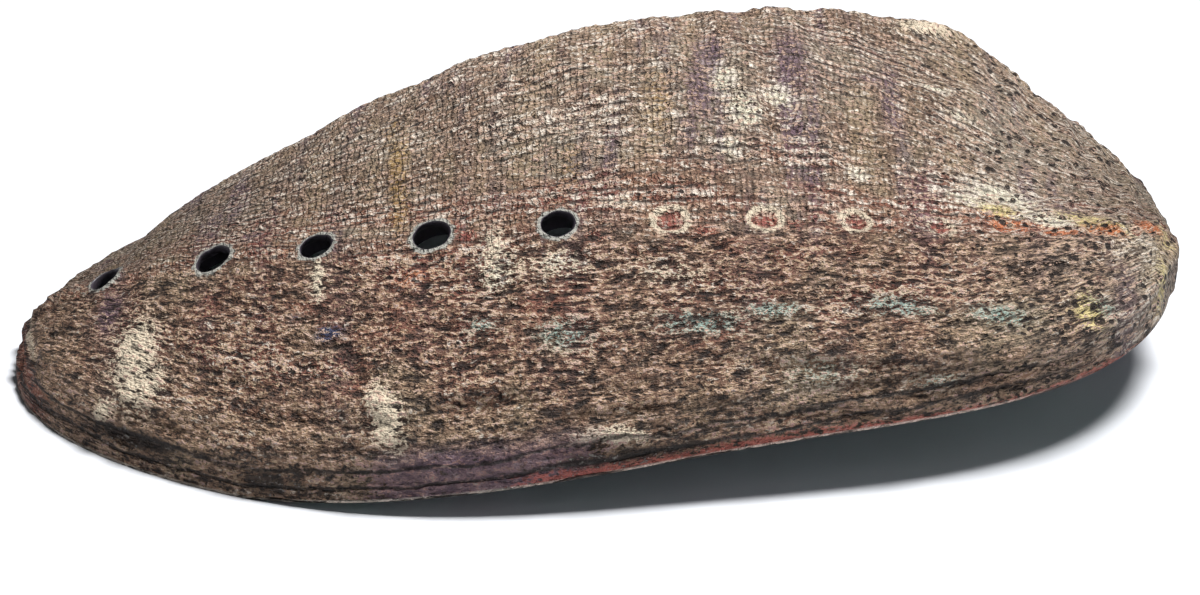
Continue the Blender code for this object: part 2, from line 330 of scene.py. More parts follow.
def smooth_skin(share, angle):
    """Places on the smooth outside."""
    reach = np.exp(log_rim(angle))
    radius = reach * (share + bulge(angle) * 4.0 * share ** 3 * (1.0 - share))
    low = np.maximum(raw_lift(angle) - FLAT_MARGIN, 0.0)
    dome = np.maximum(1.0 - share ** fullness(angle), 0.0) ** steepness(angle)
    slope = SLOPE_X * np.cos(angle) + SLOPE_Y * np.sin(angle)
    height = low + (APEX_HEIGHT - low) * dome + reach * slope * share * (1.0 - share ** SLOPE_FADE)
    return np.stack([APEX_X + radius * np.cos(angle), APEX_Y + radius * np.sin(angle), height], axis=-1)


def skin_normal(share, angle):
    """Outward directions of the smooth outside."""
    near = np.clip(share, 0.03, 0.9965)
    outward = smooth_skin(near + 0.003, angle) - smooth_skin(near - 0.003, angle)
    around = smooth_skin(near, angle + 0.01) - smooth_skin(near, angle - 0.01)
    normal = np.cross(outward, around)
    return normal / np.linalg.norm(normal, axis=-1, keepdims=True)


def wound(share, start):
    """Angle of the cord that leaves the margin at start, once it has come in to share."""
    near = np.maximum(share, 0.02)
    return start - WIND * np.log(near) + WIND_EVEN * (1.0 - near)


def margin_lengths():
    """Angles round the margin from the hole row, and the way along the margin to each."""
    angles = ROW_ANGLE + np.linspace(0.0, FULL_TURN, 2001)
    places = smooth_skin(np.ones_like(angles), angles)
    steps = np.linalg.norm(np.diff(places, axis=0), axis=1)
    return angles, np.concatenate([[0.0], np.cumsum(steps)])


MARGIN_ANGLES, MARGIN_RUN = margin_lengths()


def start_of(turn):
    """Angle at the margin of the cord that lies a share of the way round from the hole row."""
    whole = np.floor(turn)
    return np.interp((turn - whole) * MARGIN_RUN[-1], MARGIN_RUN, MARGIN_ANGLES) + whole * FULL_TURN


def growth_table():
    """Shares from apex to margin, and the mean way along the cords to each in mm."""
    near_margin = 1.0 - np.linspace(math.sqrt(0.1), 0.0, 400)[1:] ** 2
    shares = np.concatenate([np.linspace(0.02, 0.9, 400), near_margin])
    turns = np.linspace(0.0, 1.0, 48, endpoint=False)
    grid_share, grid_turn = np.meshgrid(shares, turns, indexing="ij")
    places = smooth_skin(grid_share, wound(grid_share, start_of(grid_turn)))
    steps = np.linalg.norm(np.diff(places, axis=0), axis=2).mean(axis=1)
    return shares, np.concatenate([[0.0], np.cumsum(steps)])


GROWTH_SHARES, GROWTH_RUN = growth_table()


def outside_share(row):
    """Share of a row of the outside: 0 is the apex and 1 the margin, the rows evenly far apart."""
    finer = GROWTH_RUN + 14.0 * np.log(GROWTH_SHARES / GROWTH_SHARES[0])
    first = np.interp(FIRST_SHARE, GROWTH_SHARES, finer)
    share = np.interp(first + row * (finer[-1] - first), finer, GROWTH_SHARES)
    return np.where(row <= 0.0, 0.0, share)


def shelf_share(angle):
    """How much of the inner shelf stands along the margin here."""
    turn = np.mod(angle, FULL_TURN)
    rise = smooth_step(SHELF_FROM - SHELF_EASE, SHELF_FROM + SHELF_EASE, turn)
    fall = smooth_step(SHELF_TO + SHELF_EASE * 0.4, SHELF_TO - SHELF_EASE, turn)
    return rise * fall


def inside_place(share, angle):
    """Places on the smooth inside, with the broad shelf along the near margin."""
    shelf = SHELF * shelf_share(angle)
    wall = WALL * (0.55 + 0.45 * smooth_step(1.0, 0.8, share)) + shelf * smooth_step(0.55, 1.0, share)
    near_lip = smooth_step(0.97, 1.0, share)
    wall = wall * (1.0 - near_lip) + (LIP + shelf) * near_lip
    return smooth_skin(share, angle) - skin_normal(share, angle) * wall[..., None]


def soft_noise(places, size, seed):
    """Even noise from -1 to 1 at places, with lumps of about size."""
    shift = Vector((seed * 7.31, seed * 3.77, seed * 5.13))
    scale = 1.0 / size
    return np.array([noise.noise(Vector(place) * scale + shift) for place in places.tolist()])


def hole_centre(share, angle):
    """A hole's middle on the smooth outside, and the outward direction there."""
    at_share = np.array([share])
    at_angle = np.array([angle])
    return smooth_skin(at_share, at_angle)[0], skin_normal(at_share, at_angle)[0]


def holes():
    """Every hole: its share, radius, middle, outward direction and whether it is open."""
    found = []
    for share, radius in OPEN_HOLES:
        found.append((share, radius, *hole_centre(share, float(wound(share, ROW_ANGLE))), True))
    for share, radius in CLOSED_HOLES:
        found.append((share, radius, *hole_centre(share, float(wound(share, ROW_ANGLE))), False))
    for share, degrees, radius in WORN_HOLES:
        found.append((share, radius, *hole_centre(share, math.radians(degrees)), False))
    return found


def from_axis(places, middle, normal):
    """Distance in mm of places from a hole's axis, and far off where they are on another wall."""
    offset = places - middle
    along = offset @ normal
    away = np.linalg.norm(offset - along[:, None] * normal, axis=1)
    return np.where(np.abs(along) > HOLE_DEPTH, FAR_OFF, away)


def bend(place):
    """Way round the shell's long axis in mm: 0 on top, less towards the row and the near flank."""
    return BEND_RADIUS * np.arctan2(place[..., 1], place[..., 2] + BEND_DEPTH)


def row_curve():
    """The bend of the hole row along the shell, as a smooth curve through the holes."""
    middles = np.array([middle for share, radius, middle, normal, is_open in holes()])
    return np.poly1d(np.polyfit(middles[:, 0], bend(middles), 5))


def flank_edge():
    """Places along the shell and bends of the near margin, from the front end back."""
    angles = np.radians(np.linspace(190.0, 330.0, 400))
    places = smooth_skin(np.ones_like(angles), angles)
    return places[:, 0], bend(places)


ROW_CURVE = row_curve()
EDGE_ALONG, EDGE_BEND = flank_edge()


class Growth:
    """Everything known about each corner of the shell's sheet, from its column and row alone."""

    def __init__(self, sheet):
        row = sheet[:, 1]
        self.outside = row <= 1.0
        self.share = np.where(self.outside, outside_share(np.minimum(row, 1.0)), 1.0 - (row - 1.0))
        self.share = np.clip(self.share, 0.0, 1.0)
        self.angle = start_of(sheet[:, 0])
        self.skin = smooth_skin(self.share, self.angle)
        self.normal = skin_normal(self.share, self.angle)
        self.side = (self.angle - ROW_ANGLE + math.pi) % FULL_TURN - math.pi

        along = np.clip(self.skin[:, 0], -79.0, 77.0)
        around = bend(self.skin)
        row_bend = ROW_CURVE(along)
        reach = np.where(along < FAN_MIDDLE, FAN_FRONT, FAN_BACK)
        fan = np.maximum(FAN_WIDEST * (1.0 - ((along - FAN_MIDDLE) / reach) ** 2), FAN_LEAST)
        above = (around - row_bend) / (fan * CORD_MM)
        edge = np.interp(along, EDGE_ALONG, EDGE_BEND)
        depth = np.maximum(row_bend - edge, 4.0)
        below = -FLANK_CORDS * (row_bend - around) / depth
        self.cord = np.where(around > row_bend, above, below)
        self.from_row = around - row_bend
        self.flank = smooth_step(1.0, -5.0, self.from_row) * smooth_step(76.0, 66.0, self.skin[:, 0])
        self.grain = np.stack([self.skin[:, 0], self.cord * CORD_MM, self.skin[:, 2] * 0.5], axis=-1)


def mark_strength(growth, kind):
    """How strongly one kind of mark shows at each corner, from 0 to 1."""
    total = np.zeros(len(growth.share))
    for x, y, z, half_length, half_width, strength in MARKS[kind]:
        offset = growth.skin - np.array([x, y, z])
        across = np.hypot(offset[:, 1], offset[:, 2])
        total = np.maximum(total, strength * bump(offset[:, 0], half_length * MARK_SPREAD)
                           * bump(across, half_width * MARK_SPREAD))
    return np.where(growth.outside, total, 0.0)


def cord_number(growth):
    """Running number of the cord at each corner, wavering a little as real cords do."""
    waver = 0.30 * soft_noise(growth.grain, 12.0, 1) + 0.14 * soft_noise(growth.grain, 4.0, 2)
    return growth.cord + waver


def relief(growth, cord, sizes, marks):
    """Height in mm of everything raised or sunk on the outside."""
    share = growth.share
    place = growth.skin
    x = place[:, 0]
    towards_apex = smooth_step(0.04, 0.4, share)
    open_margin = smooth_step(1.0, 0.9985, share)
    flank = growth.flank

    # A crest is broad and the groove beside it narrow. Weather has worn them most at the spire's end.
    crest = np.abs(np.cos(math.pi * cord)) ** 0.6 - 0.7
    broken = np.maximum(0.7 + 0.8 * soft_noise(growth.grain, 5.0, 3), 0.1)
    worn = smooth_step(74.0, 40.0, x) * (1.0 - 0.7 * flank)
    height = sizes.cord_height * crest * broken * worn * towards_apex

    # The shell stops and starts as it grows, which leaves fine steps across the cords.
    uneven = soft_noise(growth.grain, 9.0, 4)
    step_place = x / STEP_MM + 0.5 * uneven
    step = step_place % 1.0 - 0.5
    strength = np.maximum(0.5 + 0.9 * soft_noise(growth.grain, 18.0, 6), 0.1) * (1.0 - 0.8 * flank)
    height += sizes.growth_step * step * strength * worn

    # The ridge under the holes, swells of growth, the folds above the row, and broad lumps.
    height += sizes.ridge_height * bump(growth.from_row, 6.0) * towards_apex
    height += 0.25 * np.sin(FULL_TURN * share / SWELL_SHARE) * smooth_step(0.2, 0.5, share)
    folds = bump(x - 24.0, 15.0) * smooth_step(4.0, 14.0, growth.from_row)
    height += sizes.fold_height * folds * np.sin(FULL_TURN * (x - 17.6 + 0.12 * place[:, 1]) / FOLD_MM)
    height += 0.2 * np.sin(place[:, 0] * 1.93 + 1.3) * np.sin(place[:, 1] * 2.17 + 0.4) * towards_apex
    for middle_x, middle_y, radius, tall in LUMPS:
        height += tall * bump(np.hypot(x - middle_x, place[:, 1] - middle_y), radius)

    # Rough weathered lime: more on the near flank and at the spire's end than on the back.
    rough = soft_noise(place, 2.4, 7) + 0.7 * soft_noise(place, 1.2, 8)
    old = smooth_step(44.0, 70.0, x)
    height += sizes.roughness * rough * (0.5 + 1.0 * np.maximum(flank, old)) * smooth_step(0.0, 0.1, share)
    streak = soft_noise(growth.grain * np.array([0.45, 1.2, 1.2]), 2.2, 11)
    height += 2.2 * sizes.roughness * streak * flank
    ribs = soft_noise(growth.grain * np.array([0.25, 1.0, 1.0]), 3.4, 13)
    height += 3.0 * sizes.roughness * (0.4 - 2.0 * np.abs(ribs)) * flank * open_margin
    height += marks["crust"] * (0.5 + 0.4 * soft_noise(place, 0.9, 9))
    height += 0.3 * marks["bleached"] * soft_noise(place, 1.0, 12)

    # Plates of growth stand out in layers along the near margin.
    front = smooth_step(-0.15, 0.12, growth.side) * smooth_step(1.05, 0.75, growth.side)
    down = np.maximum(smooth_skin(np.full_like(share, 0.98), growth.angle)[:, 2] - place[:, 2], 0.0)
    plate = (down / LEDGE_MM + 0.5 * soft_noise(growth.grain * np.array([0.25, 1.0, 1.0]), 5.0, 10)) % 1.0
    height += sizes.plate_height * front * smooth_step(0.925, 0.965, share) * (plate - 0.5)

    # The low coil of the spire, and the rolled strip with a groove behind it at the front end.
    round_apex = (growth.angle - ROW_ANGLE) % FULL_TURN / FULL_TURN
    spire = smooth_step(0.03, 0.12, share) * smooth_step(0.4, 0.2, share)
    height += 0.5 * np.sin(FULL_TURN * (round_apex + 0.55 * np.log(np.maximum(share, 0.03)))) * spire
    beak = bump(share - 0.978, 0.014) - 0.9 * bump(share - 0.945, 0.013)
    beak = sizes.beak_roll * beak * bump(growth.side - 0.02, 0.22)
    return height * open_margin + beak


def hole_relief(places, height, found, sizes):
    """Raise a rim round each hole and dish the closed ones."""
    for share, radius, middle, normal, is_open in found:
        away = from_axis(places, middle, normal)
        rim = radius + RIM_WIDTH * 0.45
        tall = sizes.rim_height if is_open else sizes.rim_height * (0.35 + 1.6 * max(share - 0.5, 0.0))
        outer = np.clip((away - rim) / (radius * 1.15), 0.0, 1.0)
        shape = np.where(away > rim, (1.0 - outer) ** 2.0, 1.0 - ((rim - away) / rim) ** 2 * 0.2)
        near = away < rim + radius * 1.15
        height = np.where(near, height * (0.35 + 0.65 * outer) + tall * shape, height)
        if not is_open:
            plug = smooth_step(radius, radius - 0.7, away)
            height = height - plug * tall * 1.05 * (away < radius)
    return height


def build_sheet(found):
    """A flat sheet, a column for each step round and a row for each step of growth, fine round the holes."""
    mesh = bmesh.new()
    mesh.verts.layers.int.new("order")
    mesh.loops.layers.uv.new("growth")
    rows = OUTSIDE_ROWS + INSIDE_ROWS
    bmesh.ops.create_grid(mesh, x_segments=COLUMNS, y_segments=rows, size=0.5)
    scale = rows / OUTSIDE_ROWS
    for vert in mesh.verts:
        grown = (vert.co.y + 0.5) * scale
        vert.co.y = grown if grown <= 1.0 else 1.0 + (grown - 1.0) * OUTSIDE_ROWS / INSIDE_ROWS
    for _ in range(REFINE_PASSES):
        mesh.verts.index_update()
        growth = Growth(sheet_of(mesh))
        places = wall_places(growth)
        ends = np.array([(edge.verts[0].index, edge.verts[1].index) for edge in mesh.edges])
        middles = (places[ends[:, 0]] + places[ends[:, 1]]) / 2.0
        lengths = np.linalg.norm(places[ends[:, 0]] - places[ends[:, 1]], axis=1)
        outside = growth.outside[ends[:, 0]] & growth.outside[ends[:, 1]]
        near = np.zeros(len(ends), dtype=bool)
        for share, radius, middle, normal, is_open in found:
            away = from_axis(middles, middle, normal)
            reach = radius * np.where(outside, FINE_OUTSIDE[0], FINE_INSIDE[0]) + lengths * 0.5
            near |= (away < reach) & (outside | is_open)
        near &= lengths > np.where(outside, FINE_OUTSIDE[1], FINE_INSIDE[1])
        edges = [edge for edge, chosen in zip(mesh.edges, near) if chosen]
        bmesh.ops.subdivide_edges(mesh, edges=edges, cuts=1, use_grid_fill=True)
    return mesh


def sheet_of(mesh):
    """Every corner's column and row."""
    return np.array([vert.co[:2] for vert in mesh.verts])


def wall_places(growth):
    """Places of the corners on the bare wall, without its relief."""
    return np.where(growth.outside[:, None], growth.skin, inside_place(growth.share, growth.angle))


def open_hole(mesh, middle, normal, radius, outside):
    """Take out the faces within a circle and draw the ring of corners round them out to it."""
    mesh.verts.index_update()
    growth = Growth(sheet_of(mesh))
    away = from_axis(wall_places(growth), middle, normal)
    away = np.where(growth.outside == outside, away, FAR_OFF)
    gone = [face for face in mesh.faces
            if sum(away[vert.index] for vert in face.verts) / len(face.verts) < radius]
    bmesh.ops.delete(mesh, geom=gone, context="FACES")
    mesh.verts.index_update()
    growth = Growth(sheet_of(mesh))
    away = from_axis(wall_places(growth), middle, normal)
    away = np.where(growth.outside == outside, away, FAR_OFF)
    near = [vert for vert in mesh.verts if away[vert.index] < radius + 1.6]
    ring = [vert for vert in near if any(edge.is_boundary for edge in vert.link_edges)]
    draw_to_circle(ring, middle, normal, radius)
    members = set(ring)
    loose = [vert for vert in near if vert not in members]
    for _ in range(4):
        bmesh.ops.smooth_vert(mesh, verts=loose, factor=0.5, use_axis_x=True, use_axis_y=True)
    return ring


def draw_to_circle(ring, middle, normal, radius):
    """Move corners of the flat sheet until their places on the wall lie on the circle."""
    across = normal.copy()
    across[np.argmin(np.abs(normal))] += 1.0
    first = np.cross(normal, across)
    first = first / np.linalg.norm(first)
    second = np.cross(normal, first)
    basis = np.stack([first, second])
    sheet = np.array([vert.co[:2] for vert in ring])
    small = 1e-5

    def flat(at):
        return (wall_places(Growth(at)) - middle) @ basis.T

    start = flat(sheet)
    goal = start / np.linalg.norm(start, axis=1, keepdims=True) * radius
    for _ in range(4):
        here = flat(sheet)
        by_column = (flat(sheet + np.array([small, 0.0])) - here) / small
        by_row = (flat(sheet + np.array([0.0, small])) - here) / small
        turns = np.stack([by_column, by_row], axis=-1)
        sheet = sheet + np.linalg.solve(turns, (goal - here)[..., None])[..., 0]
    for vert, place in zip(ring, sheet):
        vert.co.x = place[0]
        vert.co.y = place[1]


def ring_edges(ring):
    """The open edges that run round a ring of corners."""
    members = set(ring)
    return list({edge for vert in ring for edge in vert.link_edges
                 if edge.is_boundary and edge.verts[0] in members and edge.verts[1] in members})


def line_bore(mesh, outer, inner, middle, normal):
    """Round the hole's rim over and take its wall down to the inside, leaning forward and widening."""
    axis = Vector(normal)
    centre = Vector(middle)
    lean = Vector(BORE_LEAN)
    lean -= axis * lean.dot(axis)
    edges = ring_edges(outer)
    faces = []
    for narrower, deeper in BORE_RINGS:
        made = bmesh.ops.extrude_edge_only(mesh, edges=edges)["geom"]
        faces += [item for item in made if isinstance(item, bmesh.types.BMFace)]
        edges = [item for item in made if isinstance(item, bmesh.types.BMEdge) and item.is_boundary]
        centre = centre + lean * deeper
        for vert in {vert for edge in edges for vert in edge.verts}:
            offset = vert.co + lean * deeper - centre
            high = offset.dot(axis)
            outward = offset - axis * high
            vert.co = centre + axis * (high - deeper) + outward * (1.0 - narrower / outward.length)
    made = bmesh.ops.bridge_loops(mesh, edges=edges + ring_edges(inner))
    faces += made["faces"]
    return faces


def build_shell(sizes):
    """The whole shell as one closed mesh, with its layers of marks."""
    found = holes()
    mesh = build_sheet(found)
    rings = []
    for share, radius, middle, normal, is_open in found:
        if is_open:
            outer = open_hole(mesh, middle, normal, radius, True)
            inner = open_hole(mesh, middle, normal, radius * INSIDE_WIDENING, False)
            rings.append((outer, inner, middle, normal))
    mesh.verts.index_update()
    growth = Growth(sheet_of(mesh))
    marks = {kind: mark_strength(growth, kind) for kind in MARKS}
    cord = cord_number(growth)
    height = relief(growth, cord, sizes, marks)
    height = hole_relief(growth.skin, height, found, sizes)
    height = np.where(growth.share <= 0.0, 0.4, height)
    places = np.where(growth.outside[:, None], growth.skin + growth.normal * height[:, None],
                      inside_place(growth.share, growth.angle))
    for outside in (True, False):
        pole = (growth.share < POLE_SHARE) & (growth.outside == outside)
        places[pole] = places[pole].mean(axis=0)
    marks.update(shape_layers(growth, found))
    cad_low = np.array(CAD_BOX[0]) / MM
    cad_high = np.array(CAD_BOX[1]) / MM
    places = np.clip(places, cad_low, cad_high)

    order = mesh.verts.layers.int["order"]
    grown = mesh.loops.layers.uv["growth"]
    for vert, place in zip(mesh.verts, places.tolist()):
        vert[order] = vert.index
        vert.co = place
    for face in mesh.faces:
        outside = 0
        for loop in face.loops:
            index = loop.vert.index
            loop[grown].uv = (cord[index], growth.skin[index, 0])
            outside += growth.outside[index]
        face.material_index = 0 if outside == len(face.verts) else 1
        face.smooth = True
    for outer, inner, middle, normal in rings:
        for face in line_bore(mesh, outer, inner, middle, normal):
            face.material_index = 2
            face.smooth = True
    bmesh.ops.remove_doubles(mesh, verts=mesh.verts, dist=0.0005)
    bmesh.ops.recalc_face_normals(mesh, faces=mesh.faces)
    bmesh.ops.scale(mesh, vec=(MM, MM, MM), verts=mesh.verts)
    return mesh, growth.grain, marks


def shape_layers(growth, found):
    """Layers that follow the shell's shape: its hole rims, plugs, margin, flank and spire's end."""
    count = len(growth.share)
    layers = {kind: np.zeros(count) for kind in ("rim", "scar", "plug")}
    ragged = 0.35 * soft_noise(growth.grain, 1.4, 14)
    for share, radius, middle, normal, is_open in found:
        away = from_axis(growth.skin, middle, normal) + ragged
        ring = smooth_step(radius + RIM_WIDTH + 0.15, radius + RIM_WIDTH - 0.3, away)
        if is_open:
            layers["rim"] = np.maximum(layers["rim"], ring)
        else:
            fading = 0.25 + 0.65 * smooth_step(62.0, 30.0, middle[0])
            hollow = smooth_step(radius - 0.7, radius - 0.1, away)
            layers["scar"] = np.maximum(layers["scar"], ring * hollow * fading)
            plug = smooth_step(radius, radius - 0.6, away) * (0.55 + 0.4 * fading)
            layers["plug"] = np.maximum(layers["plug"], plug)
    for kind in layers:
        layers[kind] = np.where(growth.outside, layers[kind], 0.0)
    x = growth.skin[:, 0]
    near = growth.skin[:, 1] < 0.0
    edge = np.linalg.norm(growth.skin - smooth_skin(np.ones(count), growth.angle), axis=1)
    layers["edge"] = np.minimum(edge, EDGE_REACH)
    width = 0.4 + 1.1 * smooth_step(56.0, 10.0, x)
    band = smooth_step(width + 0.5, width - 0.3, edge) * near
    layers["salmon"] = band * smooth_step(-14.0, -6.0, x) * smooth_step(76.0, 66.0, x)
    layers["violet_edge"] = near * smooth_step(-34.0, -24.0, x) * smooth_step(6.0, -6.0, x)
    layers["flank"] = growth.flank
    layers["row"] = bump(growth.from_row - 4.0, 8.0)
    layers["old"] = smooth_step(40.0, 66.0, x)
    layers["low"] = near * smooth_step(1.75, 1.35, growth.side) * smooth_step(-0.2, 0.0, growth.side)
    tip = smooth_step(-0.45, -0.25, growth.side) * smooth_step(0.3, 0.15, growth.side)
    layers["beak"] = 1.3 * smooth_step(5.0, 4.0, edge) * tip
    layers["scar"] = np.maximum(layers["scar"], 0.85 * bump(edge - 5.4, 0.35) * tip)
    # A thin crease in from the near margin, where the lime paints shade.
    crease_in = 4.2 - 2.2 * smooth_step(-60.0, -32.0, x)
    along_front = smooth_step(0.24, 0.34, growth.side) * smooth_step(1.1, 0.8, growth.side)
    layers["crease"] = bump(edge - crease_in + ragged, 0.45) * along_front
    return layers


def shell_object(sizes):
    """Put the built mesh into the scene with a layer of values for each kind of mark."""
    mesh, grain, marks = build_shell(sizes)
    data = bpy.data.meshes.new("shell_grown")
    mesh.to_mesh(data)
    mesh.free()
    order = np.zeros(len(data.vertices), dtype=np.int32)
    data.attributes["order"].data.foreach_get("value", order)
    data.attributes.remove(data.attributes["order"])
    along = data.attributes.new("grain", "FLOAT_VECTOR", "POINT")
    along.data.foreach_set("vector", grain[order].astype(np.float32).ravel())
    for kind, strength in marks.items():
        layer = data.attributes.new(kind, "FLOAT", "POINT")
        layer.data.foreach_set("value", strength[order].astype(np.float32))
    item = bpy.data.objects.new("shell_grown", data)
    bpy.context.scene.collection.objects.link(item)
    return item


def put(tree, kind, inputs=None, **settings):
    """Add a node: its settings by name, and its inputs as values or as other nodes' outputs."""
    made = tree.nodes.new(kind)
    for name, value in settings.items():
        setattr(made, name, value)
    for name, value in (inputs or {}).items():
        if isinstance(value, bpy.types.NodeSocket):
            tree.links.new(value, made.inputs[name])
        else:
            made.inputs[name].default_value = value
    return made


def new_material(name, roughness, ior):
    """A material with an empty tree but for its shader."""
    material = bpy.data.materials.new(name)
    material.use_nodes = True
    shader = material.node_tree.nodes["Principled BSDF"]
    shader.inputs["Roughness"].default_value = roughness
    shader.inputs["IOR"].default_value = ior
    return material, material.node_tree, shader


def weathered_lime(colours):
    """Aragonite and lime grown in layers, then bored, crusted and sanded by the sea.

    It is matt and mottled at every size, with painted light on the crests and painted shade in the grooves
    and pits.
    """
    material, tree, shader = new_material("weathered prismatic lime", 0.75, 1.56)
    shader.inputs["Specular IOR Level"].default_value = 0.3
    grain = put(tree, "ShaderNodeAttribute", attribute_name="grain").outputs["Vector"]
    place = put(tree, "ShaderNodeMapping", {
        "Vector": put(tree, "ShaderNodeTexCoord").outputs["Object"], "Scale": (1000.0, 1000.0, 1000.0),
    }).outputs["Vector"]
    grown = put(tree, "ShaderNodeSeparateXYZ", {
        "Vector": put(tree, "ShaderNodeUVMap", uv_map="growth").outputs["UV"],
    })

    # Each noise has its source, its size in mm along the shell and across it, its detail and roughness.
    # The lime's own grain is too small to show, so the finest noise is drawn at half a millimetre.
    noises = {
        "broad": (place, 17.0, 17.0, 3.0, 0.5), "mottle": (place, 3.6, 3.6, 4.0, 0.65),
        "fleck": (grain, 1.8, 0.8, 3.0, 0.7), "streak": (grain, 3.4, 1.1, 4.0, 0.66),
        "fine": (place, 0.5, 0.5, 2.0, 0.6), "bands": (grain, 4.2, 60.0, 3.0, 0.6),
        "drift": (grain, 14.0, 5.0, 3.0, 0.55), "grit": (grain, 1.15, 0.55, 2.0, 0.65),
    }
    cells = put(tree, "ShaderNodeTexVoronoi", {"Vector": place, "Scale": 1 / PIT_MM})
    field = {"cord": grown.outputs["X"], "along": grown.outputs["Y"], "cells": cells.outputs["Distance"]}
    for kind in (*MARKS, *SHAPE_LAYERS):
        field[kind] = put(tree, "ShaderNodeAttribute", attribute_name=kind).outputs["Fac"]
    for name, (source, along, across, detail, rough) in noises.items():
        scaled = put(tree, "ShaderNodeVectorMath", {0: source, 1: (1 / along, 1 / across, 1 / across)},
                     operation="MULTIPLY").outputs["Vector"]
        field[name] = put(tree, "ShaderNodeTexNoise", {
            "Vector": scaled, "Scale": 1.0, "Detail": detail, "Roughness": rough,
        }).outputs["Fac"]

    # Each row makes a new field: a sum, from its start, of fields times their factors; a range, from the
    # value that gives 0 to the one that gives its top; or one step of arithmetic.
    recipe = (
        # Cords, and threads of growth that cross them. Both waver with the grain.
        ("turn", "sum", 0.0, ("cord", FULL_TURN), ("fleck", 2.2)),
        ("crest", "COSINE", "turn"),
        ("across", "sum", 0.0, ("along", FULL_TURN / THREAD_MM), ("mottle", 16.0)),
        ("thread", "SINE", "across"),
        ("back", "sum", 1.0, ("flank", -0.8)),
        ("young", "sum", 1.0, ("old", -0.75)),
        ("woven", "MULTIPLY", "back", "young"),
        # Painted shade in the grooves beside the cords, and fine lines between the threads.
        ("groove_place", "sum", 1.9, ("crest", 1.0), ("fleck", -1.8), ("drift", -2.0)),
        ("groove_depth", "range", "groove_place", -0.35, -1.2, 1.0),
        ("groove_share", "sum", 0.0, ("back", 0.9), ("old", -0.3)),
        ("groove", "MULTIPLY", "groove_depth", "groove_share"),
        ("line_place", "sum", -0.8, ("thread", 1.0), ("fleck", 1.6)),
        ("line_depth", "range", "line_place", 0.35, 1.0, 0.55),
        ("line", "MULTIPLY", "line_depth", "woven"),
        # Painted shade in the slots on the flank and in the bored pits, which are largest at the spire's end,
        # and dark specks all over.
        ("slot_place", "sum", 0.0, ("streak", 1.0), ("fleck", 0.5)),
        ("slot_depth", "range", "slot_place", 0.72, 0.60, 0.85),
        ("slot_share", "sum", 0.1, ("flank", 0.9)),
        ("slot", "MULTIPLY", "slot_depth", "slot_share"),
        ("speck_place", "sum", 0.0, ("fine", 1.0), ("fleck", 0.6)),
        ("speck", "range", "speck_place", 0.72, 0.62, 0.9),
        ("pit_place", "sum", -0.25, ("cells", -1.0), ("old", 0.17), ("drift", 0.5), ("fine", 0.3)),
        ("pit", "range", "pit_place", 0.0, 0.07, 0.95),
        # Painted shade under the edges of the plates along the margin.
        ("plate_turn", "sum", 0.0, ("edge", FULL_TURN / PLATE_MM), ("drift", 9.0), ("fleck", 1.5)),
        ("plate_wave", "SINE", "plate_turn"),
        ("edge_share", "range", "edge", 8.0, 4.5, 1.0),
        ("near_edge", "MULTIPLY", "edge_share", "low"),
        ("plate_place", "sum", 0.0, ("plate_wave", 1.0), ("grit", 0.8)),
        ("plate_depth", "range", "plate_place", -0.2, -0.6, 0.9),
        ("plate", "MULTIPLY", "plate_depth", "near_edge"),
        # Grain that breaks up the stains, painted light on the crests and threads, and where pale and dark
        # grains lie.
        ("spread", "sum", -2.0, ("grit", 1.9), ("fine", 1.1), ("streak", 1.0)),
        ("lift", "sum", 0.0, ("crest", 0.028), ("thread", 0.012)),
        ("painted_crest_light", "MULTIPLY", "lift", "woven"),
        ("pale", "sum", -0.45, ("fleck", 1.0), ("fine", 0.5), ("painted_crest_light", 1.0), ("bleached", 0.2),
         ("drift", 0.4), ("flank", -0.085)),
        ("tan_place", "sum", 0.0, ("grit", 1.0), ("streak", 0.7)),
        ("buff_place", "sum", 0.0, ("grit", 1.0), ("streak", 0.5), ("drift", 0.4)),
        ("dark_place", "sum", 0.0, ("grit", 1.0), ("streak", 0.4)),
        ("rusty", "sum", 0.0, ("drift", 1.0), ("row", 0.2)),
    )
    for name, kind, *parts in recipe:
        if kind == "sum":
            total = parts[0]
            for source, factor in parts[1:]:
                total = put(tree, "ShaderNodeMath", {0: field[source], 1: factor, 2: total},
                            operation="MULTIPLY_ADD").outputs[0]
        elif kind == "range":
            source, low, high, top = parts
            total = put(tree, "ShaderNodeMapRange", {
                "Value": field[source], "From Min": low, "From Max": high, "To Max": top,
            }).outputs[0]
        else:
            inputs = {number: field[source] for number, source in enumerate(parts)}
            total = put(tree, "ShaderNodeMath", inputs, operation=kind).outputs[0]
        field[name] = total

